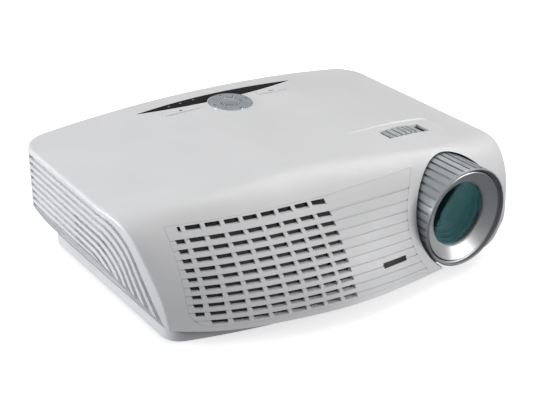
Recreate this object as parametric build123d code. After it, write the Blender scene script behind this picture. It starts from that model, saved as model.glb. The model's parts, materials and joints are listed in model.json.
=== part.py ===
from build123d import *
import math
import os

# Home projector. Millimetres, +X towards the lens side, +Y towards the rear, +Z up.
# The origin is on the surface the feet stand on, below the middle of the object.

# Case
HALF_WIDTH = 161.0
REAR_Y = 120.25
REAR_RADIUS = 2250.0
REAR_CORNER = 22.0
LEFT_BEND = (150.0, -6.75)
RIGHT_BEND = (60.0, -62.0)
CROWN_Z = 97.0
CROWN_RADIUS = 1650.0
TOP_SLOPE = 0.029
TUMBLE_TOP_Z = 42.0
TUMBLE_BOTTOM_Z = 16.0
TUMBLE_BOTTOM_X = 145.0
CASE_SPLIT_Z = 14.0
TOP_WALL = 2.4
SIDE_WALL = 4.6
EDGE_ROUND = 2.4

# Front surface: at each X, the Y of the surface at the five heights below, the Y where it runs into the
# top, and how far the top is raised there over the plain crown
FRONT_HEIGHTS = (14.0, 28.0, 50.0, 66.0, 78.0)
FRONT_STATIONS = (
    (-171.0, (-46.0, -49.0, -46.0, -40.0, -31.0), -8.0, 0.0),
    (-150.0, (-70.5, -70.0, -64.5, -57.5, -48.5), -26.0, 0.0),
    (-131.0, (-86.5, -83.0, -74.5, -64.5, -54.5), -34.0, 0.0),
    (-70.0, (-110.7, -105.5, -92.5, -80.5, -69.0), -40.0, 0.0),
    (-16.0, (-119.8, -113.8, -100.5, -88.0, -75.5), -40.0, 0.0),
    (55.0, (-117.2, -112.0, -104.5, -98.5, -91.0), -60.0, 0.8),
    (91.0, (-113.5, -111.0, -106.0, -100.5, -94.5), -72.0, 2.3),
    (128.0, (-106.0, -107.5, -103.5, -98.0, -90.0), -63.0, 1.2),
    (150.0, (-93.0, -98.5, -97.0, -91.5, -82.0), -56.0, 0.3),
    (171.0, (-76.0, -82.0, -79.0, -72.0, -62.0), -42.0, 0.0),
)

# Base
BASE_HALF_X = 144.5
BASE_FRONT_Y = -102.7
BASE_FRONT_SIDE = (130.0, -82.5)
BASE_REAR_Y = 106.0
BASE_CORNER = 15.0
BASE_BOTTOM_Z = 5.0
BASE_DECK_Z = 12.0
BASE_TOP_Z = 13.6
DECK_SETBACK = 4.6
BASE_WALL = 2.5

# Lens, on an axis along Y
LENS_X = 90.6
LENS_Z = 48.8
LENS_FRONT_Y = -113.75
RING_RADIUS = 39.0
RING_REAR_RADIUS = 39.6
RING_REAR_Y = -72.0
RING_RIM = 3.6
RING_RIB_COUNT = 40
RING_GROOVE = (1.9, 1.2)
RIM_GROOVE_DEPTH = 0.6
RIM_BAND = 1.4
RIM_INNER = 37.6
RING_RECESS = 36.3
LENS_BORE = 41.0
TUBE_OUTER = 34.6
TUBE_INNER = 33.3
TUBE_FRONT_Y = -84.0
TUBE_REAR_Y = 4.0
RUNNING = 0.05
CELL_FRONT_Y = -111.2
CELL_FLANGE = (35.4, 3.2)
CELL_WALL = 2.0
CELL_REAR_Y = -76.0
GLASS_RADIUS = 25.4
GLASS_Y = -103.2
GLASS_SLACK = 0.05
RING_STEP_Y = -106.0
ZOOM_RADIUS = 38.0
ZOOM_DIAL_RADIUS = 44.5
ZOOM_DIAL_SPAN = (-58.0, 56.0)
ZOOM_Y = (-42.9, -29.0)
ZOOM_CELL_Y = (-62.0, -38.0)
ZOOM_LENS_RADIUS = 17.0
ZOOM_WINDOW_X = (73.5, 114.5)
ZOOM_WINDOW_Y = (-43.4, -28.5)
ZOOM_GROOVE_ANGLES = (12.0, 6.2, 11)
ZOOM_INDEX_ANGLE = 27.3

# Grille
GRILLE_LEFT_X = -132.3
GRILLE_TOP_Z = 79.0
GRILLE_BOTTOM_Z = 17.2
GRILLE_ROWS = 11
ROW_PITCH = 5.52
ROW_TOP_Z = 76.8
FIRST_ROW_RISE = 1.1
OPENING_HEIGHT = 3.1
COLUMN_PITCH = 13.35
COLUMN_BAR = 2.9
COLUMN_RIGHT_X = -15.4
COLUMN_COUNT = 8
NARROW_OPENING = 6.0
FIRST_NARROW_OPENING = 2.2
BAR_DEPTH = 1.8
RIB_STEP = 1.0
RIB_FAN_X = (-15.0, 52.0)
RIB_FAN_RISE = (6.5, -1.5)
IR_X = (12.5, 34.5)
IR_Z = (29.6, 33.4)
GRILLE_DEPTH = 4.2
GRILLE_GAP = 0.15
GRILLE_MARGIN = 1.0
BEZEL_RADIUS = 48.5

# Side fins
FIN_COUNT = 8
FIN_SHIFT = (3.2, -5.66)
FIN_WIDTH = 2.9
FIN_DEPTH = 2.4
FIN_REAR_Y = 97.0
FIN_BEND_Y = -18.0
FIN_BEND_Z = 79.6
FIN_BEND_RADIUS = 36.0
FIN_BEND_ANGLE = 64.0
VENT_ROWS = (3, 4, 5, 6, 7)
VENT_SLOT = 6.2
VENT_PITCH = 8.4
VENT_REAR_Y = 27.0
VENT_COUNT = 6

# Top controls
PAD_X = 9.4
PAD_Y = 81.7
PAD_RADIUS = 17.9
PAD_INNER = 9.6
ENTER_RADIUS = 8.2
POWER_X = (-51.0, -19.0)
SOURCE_X = (39.5, 67.0)
KEY_Y = 86.3
KEY_DEPTH = 5.6
STRIP_TIPS = ((-67.7, 100.6), (82.5, 101.2))
STRIP_REAR_Y = 105.2
STRIP_FRONT_Y = 91.0
BUTTON_GAP = 0.45
BUTTON_PROUD = 0.6
KEYPAD_Z = 84.0
KEYPAD_POSTS = ((-66.0, 77.0), (84.0, 77.0), (-45.0, 105.0), (60.0, 105.0))
LED_PLACES = ((-38.0, 99.4), (-27.0, 100.7), (-14.0, 101.6))
LED_RADIUS = 0.9

# Feet
FOOT_PLACES = {"front_left": (-128.0, -58.0), "front_right": (128.0, -58.0), "rear": (0.0, 88.0)}
FOOT_PAD_RADIUS = 9.0
FOOT_PAD_HEIGHT = 4.4
STUD_RADIUS = 3.0
STUD_LENGTH = 14.0
FOOT_BOSS = (6.5, 21.0)

# Fastening from below
CEILING_X = 60.0
CEILING_Y = 53.0
CEILING_BORE = 2.05
CEILING_DEPTH = 9.0
INSERT_RADIUS = 3.5
CASE_SCREWS = ((-132.0, 90.0), (132.0, 90.0), (-132.0, -12.0), (132.0, -12.0))
SCREW_SHANK = 1.5
SCREW_HEAD = (3.0, 1.8)
BOSS_RADIUS = 4.0
LAMP_DOOR_X = (-40.0, 26.0)
LAMP_DOOR_Y = (0.0, 56.0)

# Rear connector bay
BAY_X = (-118.0, 132.0)
BAY_Z = (22.0, 72.0)
PANEL_Y = (106.5, 109.0)
AC_X = -92.0
AC_Z = 44.0
DIGITAL_X = (-34.0, -12.0)
PORT_Z = 46.0
VGA_X = 20.0
JACK_X = (52.0, 66.0, 80.0, 98.0)
TRIGGER_X = 112.0
SERVICE_X = 124.0

# Inside
FAN_X = (-112.0, -42.0)
FAN_Y = (-43.0, -18.0)
FAN_Z = (8.5, 78.5)
BLOWER_X = (-108.0, -58.0)
BLOWER_Y = (60.0, 76.0)
BLOWER_Z = (14.0, 64.0)
LAMP_AXIS = (27.0, 36.0)
WHEEL_RADIUS = 21.0
WHEEL_X = 38.0

os.makedirs("parts", exist_ok=True)


def save(name, *shapes):
    """Write one node; several shapes stay separate solids in it."""
    solids = []
    for shape in shapes:
        solids += shape.solids()
    node = Compound(label=name, children=solids) if len(solids) > 1 else solids[0]
    export_step(node, f"parts/{name}.step")
    return shapes[0]


def block(x, y, z):
    """A box between two X, two Y and two Z values."""
    size = (x[1] - x[0], y[1] - y[0], z[1] - z[0])
    centre = ((x[0] + x[1]) / 2, (y[0] + y[1]) / 2, (z[0] + z[1]) / 2)
    return Pos(*centre) * Box(*size)


def rod_z(x, y, z0, z1, radius):
    return Pos(x, y, (z0 + z1) / 2) * Cylinder(radius, z1 - z0)


def rod_y(x, z, y0, y1, radius):
    return Pos(x, (y0 + y1) / 2, z) * Rot(90, 0, 0) * Cylinder(radius, y1 - y0)


def rod_x(y, z, x0, x1, radius):
    return Pos((x0 + x1) / 2, y, z) * Rot(0, 90, 0) * Cylinder(radius, x1 - x0)


def lens_rod(y0, y1, radius):
    return rod_y(LENS_X, LENS_Z, y0, y1, radius)


def crown(x, y):
    """Height of the top surface, crowned across X and falling gently towards the front."""
    return CROWN_Z - x * x / (2 * CROWN_RADIUS) - TOP_SLOPE * (REAR_Y - y)


# ---------------------------------------------------------------- outer surfaces

def bonnet():
    """Solid below the top and front surface, lofted through the front stations."""
    sections = []
    back_y = REAR_Y + 15
    for x, depths, top_y, lift in FRONT_STATIONS:
        run = FRONT_HEIGHTS[0] / (FRONT_HEIGHTS[1] - FRONT_HEIGHTS[0])
        toe = depths[0] + (depths[0] - depths[1]) * run
        points = [(x, toe, 0)] + [(x, y, z) for y, z in zip(depths, FRONT_HEIGHTS)]
        points.append((x, top_y, crown(x, top_y) + lift))
        lean = Vector(0, depths[0] - toe, FRONT_HEIGHTS[0]).normalized()
        top = Line(points[-1], (x, back_y, crown(x, back_y)))
        front = Spline(*points, tangents=[lean, top % 0])
        rear = Line(top @ 1, (x, back_y, 0))
        floor = Line(rear @ 1, points[0])
        sections.append(Face(Wire([front.edge(), top.edge(), rear.edge(), floor.edge()])))
    return loft(sections)


def plan(inset):
    """Plan outline of the case as a tall prism, set in by a distance."""
    side = HALF_WIDTH - inset
    rear = REAR_Y - inset
    sag = side * side / (2 * REAR_RADIUS)
    turn = 60.0
    left_radius = LEFT_BEND[0] - inset
    right_radius = RIGHT_BEND[0] - inset
    left = CenterArc((-side + left_radius, LEFT_BEND[1]), left_radius, 180, turn / 2)
    right = CenterArc((side - right_radius, RIGHT_BEND[1]), right_radius, -turn, turn)
    back = ThreePointArc((side, rear - sag), (0, rear), (-side, rear - sag))
    outline = [right, Line(right @ 1, back @ 0), back, Line(back @ 1, left @ 0), left]
    outline.append(Polyline(left @ 1, (-side / 2, -150), (side / 2, -150), right @ 0))
    face = make_face(outline)
    corners = face.vertices().sort_by(Axis.Y)[-2:]
    return extrude(fillet(corners, REAR_CORNER - inset), 115)


def sides(inset):
    """Front view of the case as a long prism: upright walls that lean in below."""
    side = HALF_WIDTH - inset
    low = TUMBLE_BOTTOM_X - inset
    slope = (HALF_WIDTH - TUMBLE_BOTTOM_X) / (TUMBLE_TOP_Z - TUMBLE_BOTTOM_Z)
    foot = low - slope * TUMBLE_BOTTOM_Z
    left = [(-side, 115), (-side, TUMBLE_TOP_Z), (-foot, 0)]
    right = [(foot, 0), (side, TUMBLE_TOP_Z), (side, 115)]
    face = make_face(Plane.XZ * Polyline(*left, *right, close=True))
    knees = [v for v in face.vertices() if abs(v.Z - TUMBLE_TOP_Z) < 0.1]
    return extrude(fillet(knees, 12), 150, both=True)


def fin_path(step):
    """Centre line of one side groove: a long run that bends down to the case's lower edge."""
    dy = FIN_SHIFT[0] * step
    dz = FIN_SHIFT[1] * step
    start = Vector(FIN_REAR_Y, FIN_BEND_Z + dz + TOP_SLOPE * (FIN_REAR_Y - FIN_BEND_Y))
    bend = Vector(FIN_BEND_Y + dy, FIN_BEND_Z + dz)
    centre = bend - Vector(0, FIN_BEND_RADIUS)
    turn = CenterArc(centre, FIN_BEND_RADIUS, 90, FIN_BEND_ANGLE)
    lean = math.radians(FIN_BEND_ANGLE)
    end = turn @ 1 + Vector(-math.cos(lean), -math.sin(lean)) * 60
    return Line(start, bend), turn, Line(turn @ 1, end)


def fin_band(step, width, side):
    """One fin groove as a band across the whole side, on the left (-1) or right (+1)."""
    plane = Plane(origin=(0, 0, 0), x_dir=(0, 1, 0), z_dir=(1, 0, 0))
    band = trace(list(fin_path(step)), width)
    return Pos(side * 150, 0, 0) * extrude(plane * band, 30, both=True)


def key_shape(x0, x1, grow=0.0):
    """Rounded slot outline of a key."""
    width = x1 - x0 + 2 * grow
    return Pos((x0 + x1) / 2, KEY_Y) * RectangleRounded(width, KEY_DEPTH + 2 * grow, 2.4 + grow)


def pad_shapes(shrink=0.0):
    """The four quadrant outlines of the direction pad, split by diagonal slots."""
    slot = 1.5 + 2 * shrink
    ring = Circle(PAD_RADIUS - shrink) - Circle(PAD_INNER + shrink)
    ring -= Rot(0, 0, 45) * Rectangle(60, slot) + Rot(0, 0, -45) * Rectangle(60, slot)
    return Pos(PAD_X, PAD_Y) * ring


def strip_shape(inset=0.0):
    """Lens-shaped outline of the gloss strip."""
    left, right = STRIP_TIPS
    middle = (left[0] + right[0]) / 2
    tip = 3 * inset
    rear = ThreePointArc((left[0] + tip, left[1]), (middle, STRIP_REAR_Y - inset), (right[0] - tip, right[1]))
    front = ThreePointArc(rear @ 1, (middle, STRIP_FRONT_Y + inset), rear @ 0)
    return make_face([rear, front])


# ---------------------------------------------------------------- case

BONNET = bonnet()
OUTER = BONNET & plan(0) & sides(0)
top_edges = [edge for edge in OUTER.edges() if edge.bounding_box().min.Z > 83]
OUTER = OUTER.solids()[0].fillet(EDGE_ROUND, top_edges)
HOLLOW = (Pos(0, TOP_WALL, -TOP_WALL) * BONNET) & plan(SIDE_WALL) & sides(SIDE_WALL)
SKIN = plan(FIN_DEPTH) & sides(FIN_DEPTH)
ABOVE_SPLIT = block((-200, 200), (-200, 200), (CASE_SPLIT_Z, 120))


def row_top(row):
    """Height of a row's top edge, left of the fan; the first row stands a little higher."""
    rise = FIRST_ROW_RISE if row == 0 else 0.0
    return ROW_TOP_Z + rise - row * ROW_PITCH


def rib_fan_angle(row):
    """Angle by which a rib rises towards the lens, from the top row's to the bottom row's."""
    high, low = RIB_FAN_RISE
    share = 1 - row / (GRILLE_ROWS - 1)
    rise = low + (high - low) * share ** 2
    return math.atan2(rise, RIB_FAN_X[1] - RIB_FAN_X[0])


def grille_outline(inset):
    """Solid through the front where the grille panel sits, with a round lower left corner."""
    left = GRILLE_LEFT_X + inset
    top = GRILLE_TOP_Z - inset
    bottom = GRILLE_BOTTOM_Z + inset
    bend = RIB_FAN_X[0]
    end = top + (LENS_X - bend) * math.tan(rib_fan_angle(0))
    corners = [(left, bottom), (LENS_X, bottom), (LENS_X, end), (bend, top), (left, top)]
    sheet = make_face(Polyline(*corners, close=True))
    sheet = fillet(sheet.vertices().sort_by(lambda v: v.X + v.Y)[0], 12 - inset)
    panel = extrude(Plane.XZ * sheet, 140)
    return panel - lens_rod(-150, 10, BEZEL_RADIUS + inset)


def make_grille():
    """Front panel of stepped ribs, pierced by the exhaust openings on its left part."""
    panel = (BONNET & grille_outline(GRILLE_GAP)) - (Pos(0, GRILLE_DEPTH, -1.5) * BONNET)
    panel -= block((COLUMN_RIGHT_X + 2, LENS_X), (-150, 20), (0, 100)) & (Pos(0, 3.2, -1.0) * BONNET)
    steps = []
    holes = []
    channels = []
    bend = RIB_FAN_X[0]
    for row in range(GRILLE_ROWS):
        top = row_top(row)
        narrow = FIRST_NARROW_OPENING if row == 0 else NARROW_OPENING
        widths = [COLUMN_PITCH - COLUMN_BAR] * COLUMN_COUNT
        if row < GRILLE_ROWS - 1:
            widths.append(narrow)
        left = COLUMN_RIGHT_X - (len(widths) - 1) * COLUMN_PITCH - widths[-1]
        channels.append(block((left, COLUMN_RIGHT_X), (-140, 20), (top - OPENING_HEIGHT, top)))
        if row > 0:
            fan = Pos(bend, 0, top) * Rot(0, -math.degrees(rib_fan_angle(row)), 0)
            steps.append(block((GRILLE_LEFT_X, bend), (-140, 0), (top - 1.0, top)))
            steps.append(fan * block((-0.1, 120), (-140, 0), (-1.0, 0)))
        for column, width in enumerate(widths):
            right = COLUMN_RIGHT_X - column * COLUMN_PITCH
            holes.append(block((right - width, right), (-140, 20), (top - OPENING_HEIGHT, top)))
    panel -= (Part() + steps) - (Pos(0, RIB_STEP, 0) * BONNET)
    pierced = (Part() + channels) & (Pos(0, BAR_DEPTH, 0) * BONNET)
    panel -= (pierced + holes) & grille_outline(GRILLE_MARGIN)
    window = block(IR_X, (-150, -60), IR_Z)
    return panel - window


def make_ir_window():
    slab = (Pos(0, 0.4, 0) * BONNET) - (Pos(0, 3.0, -0.6) * BONNET)
    gap = 0.15
    return slab & block((IR_X[0] + gap, IR_X[1] - gap), (-150, -60), (IR_Z[0] + gap, IR_Z[1] - gap))


def make_top_cover():
    """Outer shell: finned sides, lens mouth, grille window, key holes and an open rear bay."""
    cover = (OUTER - HOLLOW) & ABOVE_SPLIT
    cover -= grille_outline(0)
    cover -= lens_rod(-140, -70, LENS_BORE)
    cover -= block(ZOOM_WINDOW_X, ZOOM_WINDOW_Y, (80, 110))
    cover -= lens_rod(*ZOOM_WINDOW_Y, ZOOM_DIAL_RADIUS + 0.5)
    for side in (-1, 1):
        for step in range(FIN_COUNT):
            cover -= fin_band(step, FIN_WIDTH, side) - SKIN
        slots = []
        for n in range(VENT_COUNT):
            end = VENT_REAR_Y - n * VENT_PITCH
            slots.append(block((side * 150 - 30, side * 150 + 30), (end - VENT_SLOT, end), (20, 90)))
        for step in VENT_ROWS:
            cover -= fin_band(step, FIN_WIDTH - 0.9, side) & (Part() + slots)
    holes = key_shape(*POWER_X, BUTTON_GAP) + key_shape(*SOURCE_X, BUTTON_GAP)
    holes += pad_shapes(-BUTTON_GAP) + Pos(PAD_X, PAD_Y) * Circle(ENTER_RADIUS + BUTTON_GAP)
    cover -= Pos(0, 0, 80) * extrude(holes, 30)
    around_pad = Pos(PAD_X, PAD_Y) * Circle(PAD_RADIUS + 1.05)
    recess = Pos(0, 0, 80) * extrude(strip_shape(-0.15) - around_pad, 30)
    cover -= recess - (Pos(0, 0, -1.2) * BONNET)
    for x, y in LED_PLACES:
        cover -= rod_z(x, y, 80, 110, LED_RADIUS + 0.1)
    cover -= block(BAY_X, (100, 130), BAY_Z)
    for x, y in CASE_SCREWS:
        boss = rod_z(x, y, 16.0, 100, BOSS_RADIUS) & HOLLOW
        cover += boss - rod_z(x, y, 10, 34, SCREW_SHANK)
    for x, y in KEYPAD_POSTS:
        cover += rod_z(x, y, KEYPAD_Z + 1.6, 100, 2.2) & HOLLOW
    return cover


def base_outline(inset):
    """Plan of the tub: straight sides, bowed front, round corners."""
    side = BASE_HALF_X - inset
    rear = BASE_REAR_Y - inset
    x, y = BASE_FRONT_SIDE
    arc = ThreePointArc((-x, y + inset), (0, BASE_FRONT_Y + inset), (x, y + inset))
    left = arc @ 0 - (arc % 0) * ((side - x) / (arc % 0).X)
    right = arc @ 1 + (arc % 1) * ((side - x) / (arc % 1).X)
    edges = [Line(left, arc @ 0), arc, Line(arc @ 1, right)]
    edges.append(Polyline(right, (side, rear), (-side, rear), left))
    face = make_face(edges)
    corners = [v for v in face.vertices() if abs(abs(v.X) - side) < 0.1]
    return fillet(corners, BASE_CORNER - inset)


def make_base():
    """Lower tray: a shallow tub with a deck that closes the front overhang."""
    outline = base_outline(0)
    inside = Pos(0, 0, BASE_BOTTOM_Z + BASE_WALL) * extrude(base_outline(BASE_WALL), 20)
    deck = (Pos(0, DECK_SETBACK, 0) * BONNET) & plan(DECK_SETBACK) & sides(0)
    deck &= block((-BASE_HALF_X, BASE_HALF_X), (-200, 200), (BASE_DECK_Z, BASE_TOP_Z))
    base = Pos(0, 0, BASE_BOTTOM_Z) * extrude(outline, BASE_TOP_Z - BASE_BOTTOM_Z) + deck
    base -= inside
    base -= lens_rod(-140, -60, LENS_BORE)
    base -= block(LAMP_DOOR_X, LAMP_DOOR_Y, (0, 12))
    for x, y in CASE_SCREWS:
        base += rod_z(x, y, BASE_BOTTOM_Z, 16.0, BOSS_RADIUS)
        base -= rod_z(x, y, 0, 20, SCREW_SHANK + 0.2) + rod_z(x, y, 0, 8.0, SCREW_HEAD[0] + 0.4)
    for x, y in FOOT_PLACES.values():
        base += rod_z(x, y, BASE_BOTTOM_Z, FOOT_BOSS[1], FOOT_BOSS[0])
        base -= rod_z(x, y, 0, 30, STUD_RADIUS + RUNNING)
    for x in (-CEILING_X, CEILING_X):
        for y in (-CEILING_Y, CEILING_Y):
            base += rod_z(x, y, BASE_BOTTOM_Z, BASE_BOTTOM_Z + CEILING_DEPTH, INSERT_RADIUS + 2)
            base -= rod_z(x, y, 0, 30, INSERT_RADIUS)
    for n in range(9):
        y = 16.0 + 7.0 * n
        base -= block((-138, -118), (y, y + 3), (0, 10)) + block((118, 138), (y, y + 3), (0, 10))
    return base


def ring_profile(points):
    """Solid of revolution about the lens axis from (radius, Y) points."""
    outline = make_face(Polyline(*[(LENS_X + r, y) for r, y in points], close=True))
    return Pos(0, 0, LENS_Z) * revolve(outline, Axis((LENS_X, 0, 0), (0, 1, 0)))


def around_lens(shape, count):
    """Copies of a shape turned about the lens axis."""
    axis = Axis((LENS_X, 0, LENS_Z), (0, 1, 0))
    return [shape.rotate(axis, 360 * n / count) for n in range(count)]


def make_focus_ring():
    front = LENS_FRONT_Y
    ring = ring_profile([
        (TUBE_OUTER + RUNNING, RING_REAR_Y), (RING_REAR_RADIUS, RING_REAR_Y),
        (RING_RADIUS + 0.1, front + RING_RIM), (RING_RADIUS, front + 0.6), (RING_RADIUS - 0.6, front),
        (RIM_INNER + 0.3, front), (RIM_INNER, front + 0.5), (RIM_INNER, front + RING_RIM - 0.6),
        (RING_RECESS, front + RING_RIM), (RING_RECESS, RING_STEP_Y), (TUBE_OUTER + RUNNING, RING_STEP_Y),
    ])
    width, depth = RING_GROOVE
    groove = block(
        (LENS_X - width / 2, LENS_X + width / 2), (front + RING_RIM, RING_REAR_Y + 1),
        (LENS_Z + RING_RADIUS - depth, LENS_Z + RING_RADIUS + 5),
    )
    across_rim = block(
        (LENS_X - width / 2, LENS_X + width / 2), (front + RIM_BAND, front + RING_RIM + 0.1),
        (LENS_Z + RING_RADIUS - RIM_GROOVE_DEPTH, LENS_Z + RING_RADIUS + 5),
    )
    return ring - around_lens(groove, RING_RIB_COUNT) - around_lens(across_rim, RING_RIB_COUNT)


def make_zoom_ring():
    """Ring round the tube with a raised dial on its upper part: thumb ribs and one index slit."""
    bore = TUBE_OUTER + RUNNING
    front, rear = ZOOM_Y
    ring = ring_profile([(bore, front), (ZOOM_RADIUS, front), (ZOOM_RADIUS, rear), (bore, rear)])
    rim = ring_profile([
        (bore + 1, front), (ZOOM_DIAL_RADIUS - 0.4, front), (ZOOM_DIAL_RADIUS, front + 0.4),
        (ZOOM_DIAL_RADIUS, rear - 0.4), (ZOOM_DIAL_RADIUS - 0.4, rear), (bore + 1, rear),
    ])
    spokes = [(LENS_X, LENS_Z)]
    for angle in ZOOM_DIAL_SPAN:
        turn = math.radians(angle)
        spokes.append((LENS_X + 120 * math.sin(turn), LENS_Z + 120 * math.cos(turn)))
    wedge = make_face(Plane.XZ * Polyline(*spokes, close=True))
    ring += rim & extrude(wedge, 100, dir=(0, -1, 0))
    axis = Axis((LENS_X, 0, LENS_Z), (0, 1, 0))
    top = LENS_Z + ZOOM_DIAL_RADIUS
    groove = block((LENS_X - 0.8, LENS_X + 0.8), ZOOM_Y, (top - 1.2, top + 2))
    slit = block((LENS_X - 0.65, LENS_X + 0.65), ZOOM_Y, (top - 1.5, top + 2))
    last, pitch, count = ZOOM_GROOVE_ANGLES
    cuts = [groove.rotate(axis, last - n * pitch) for n in range(count)]
    return ring - cuts - slit.rotate(axis, ZOOM_INDEX_ANGLE)


def lens_element(y, radius, thickness, bulge):
    """Glass disc with a domed front."""
    rim = LENS_X + radius
    front = ThreePointArc((LENS_X, y - bulge), (LENS_X + radius * 0.5, y - bulge * 0.76), (rim, y))
    outline = [front, Polyline(front @ 1, (rim, y + thickness), (LENS_X, y + thickness), front @ 0)]
    return Pos(0, 0, LENS_Z) * revolve(make_face(outline), Axis((LENS_X, 0, 0), (0, 1, 0)))


def make_lens_parts():
    tube = lens_rod(TUBE_FRONT_Y, TUBE_REAR_Y, TUBE_OUTER) - lens_rod(TUBE_FRONT_Y, TUBE_REAR_Y, TUBE_INNER)
    mount = lens_rod(TUBE_REAR_Y, TUBE_REAR_Y + 4, TUBE_OUTER + 2)
    save("lens_mount_tube", tube + (mount - lens_rod(TUBE_REAR_Y, TUBE_REAR_Y + 4, 20)))
    shroud = lens_rod(-130, -70, LENS_BORE + 1.8) - lens_rod(-130, -70, LENS_BORE + 0.2)
    save("lens_shroud", shroud & HOLLOW & ABOVE_SPLIT)
    save("focus_ring", make_focus_ring())
    save("zoom_ring", make_zoom_ring())
    outer = TUBE_INNER - RUNNING
    flange, flange_length = CELL_FLANGE
    flange_y = CELL_FRONT_Y + flange_length
    web_y = GLASS_Y + 5
    save("focus_cell", ring_profile([
        (GLASS_RADIUS, CELL_REAR_Y), (GLASS_RADIUS + CELL_WALL, CELL_REAR_Y),
        (GLASS_RADIUS + CELL_WALL, web_y), (outer - CELL_WALL, web_y),
        (outer - CELL_WALL, CELL_REAR_Y), (outer, CELL_REAR_Y), (outer, flange_y),
        (flange, flange_y), (flange, CELL_FRONT_Y + 0.3), (flange - 0.5, CELL_FRONT_Y),
        (GLASS_RADIUS + 1.6, GLASS_Y - 3.2), (GLASS_RADIUS + 0.9, GLASS_Y - 2.8),
        (GLASS_RADIUS, GLASS_Y - 1.8),
    ]))
    save("front_lens", lens_element(GLASS_Y, GLASS_RADIUS - GLASS_SLACK, 4.0, 3.4))
    front, rear = ZOOM_CELL_Y
    seat = ZOOM_LENS_RADIUS
    cell = lens_rod(front, rear, outer) - lens_rod(front, rear, outer - CELL_WALL)
    cell += lens_rod(front + 6, front + 9, outer - 1) + lens_rod(front + 4, front + 12, seat + CELL_WALL)
    save("zoom_cell", cell - lens_rod(front, rear, seat))
    save("zoom_lens", lens_element(front + 6, seat - GLASS_SLACK, 5.0, 2.5))
    save("rear_lens", lens_element(TUBE_REAR_Y + 0.4, 20, 3.4, 0.4))


def make_controls():
    stem_z = KEYPAD_Z + 4.2
    proud = Pos(0, 0, BUTTON_PROUD) * BONNET
    keys = {
        "power_button": key_shape(*POWER_X),
        "source_button": key_shape(*SOURCE_X),
    }
    for name, outline in keys.items():
        save(name, (Pos(0, 0, stem_z) * extrude(outline, 20)) & proud)
    quadrants = pad_shapes().faces()
    names = {"nav_right": (1, 0), "nav_left": (-1, 0), "nav_up": (0, 1), "nav_down": (0, -1)}
    for name, (dx, dy) in names.items():
        face = max(quadrants, key=lambda f: (f.center().X - PAD_X) * dx + (f.center().Y - PAD_Y) * dy)
        save(name, (Pos(0, 0, stem_z) * extrude(face, 20)) & proud)
    enter = rod_z(PAD_X, PAD_Y, stem_z, 110, ENTER_RADIUS) & proud
    dish_radius = 60.0
    top = crown(PAD_X, PAD_Y) + BUTTON_PROUD
    save("enter_button", enter - Pos(PAD_X, PAD_Y, top + dish_radius - 0.7) * Sphere(dish_radius))
    strip = (Pos(0, 0, 80) * extrude(strip_shape(), 30)) & BONNET
    strip -= Pos(0, 0, -1.1) * BONNET
    strip -= rod_z(PAD_X, PAD_Y, 80, 110, PAD_RADIUS + 1.2)
    lights = []
    for x, y in LED_PLACES:
        strip -= rod_z(x, y, 80, 110, LED_RADIUS + 0.05)
        lights.append(rod_z(x, y, KEYPAD_Z + 1.6, 110, LED_RADIUS) & BONNET)
    save("indicator_strip", strip)
    save("status_light_pipes", *lights)
    board = block((-70, 88), (62, 108), (KEYPAD_Z, KEYPAD_Z + 1.6))
    spots = [(sum(POWER_X) / 2, KEY_Y), (sum(SOURCE_X) / 2, KEY_Y), (PAD_X, PAD_Y)]
    reach = (PAD_RADIUS + PAD_INNER) / 2
    spots += [(PAD_X + reach * dx, PAD_Y + reach * dy) for dx, dy in names.values()]
    for x, y in spots:
        board += rod_z(x, y, KEYPAD_Z + 1.6, KEYPAD_Z + 2.4, 1.8)
    save("keypad_board", board)


def make_feet():
    for name, (x, y) in FOOT_PLACES.items():
        stud_top = FOOT_PAD_HEIGHT + STUD_LENGTH
        pad = rod_z(x, y, 0, FOOT_PAD_HEIGHT, FOOT_PAD_RADIUS) - rod_z(x, y, 2, 6, STUD_RADIUS)
        save(f"{name}_foot_pad", pad)
        save(f"{name}_foot_stud", rod_z(x, y, 2, stud_top, STUD_RADIUS))


def make_fastenings():
    inserts = []
    for x in (-CEILING_X, CEILING_X):
        for y in (-CEILING_Y, CEILING_Y):
            sleeve = rod_z(x, y, BASE_BOTTOM_Z, BASE_BOTTOM_Z + CEILING_DEPTH, INSERT_RADIUS)
            inserts.append(sleeve - rod_z(x, y, 0, 30, CEILING_BORE))
    save("ceiling_mount_inserts", *inserts)
    screws = []
    for x, y in CASE_SCREWS:
        head = rod_z(x, y, 8.0 - SCREW_HEAD[1], 8.0, SCREW_HEAD[0])
        head -= block((x - 2, x + 2), (y - 0.4, y + 0.4), (0, 7.2))
        head -= block((x - 0.4, x + 0.4), (y - 2, y + 2), (0, 7.2))
        screws.append(head + rod_z(x, y, 8.0, 30, SCREW_SHANK))
    save("case_screws", *screws)
    gap = 0.4
    x, y = LAMP_DOOR_X, LAMP_DOOR_Y
    door_z = (BASE_BOTTOM_Z, BASE_BOTTOM_Z + BASE_WALL)
    door = block((x[0] + gap, x[1] - gap), (y[0] + gap, y[1] - gap), door_z)
    middle = (y[0] + y[1]) / 2
    spots = [(x[0] + 6, middle), (x[1] - 6, middle)]
    door_screws = []
    for sx, sy in spots:
        door -= rod_z(sx, sy, 0, 20, SCREW_SHANK) + rod_z(sx, sy, 0, BASE_BOTTOM_Z + 1.2, SCREW_HEAD[0])
        head = rod_z(sx, sy, BASE_BOTTOM_Z + 0.1, BASE_BOTTOM_Z + 1.2, SCREW_HEAD[0])
        head -= block((sx - 2, sx + 2), (sy - 0.4, sy + 0.4), (0, BASE_BOTTOM_Z + 0.7))
        door_screws.append(head + rod_z(sx, sy, BASE_BOTTOM_Z + 1.2, 8.7, SCREW_SHANK))
    save("lamp_door", door)
    save("lamp_door_screws", *door_screws)


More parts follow.
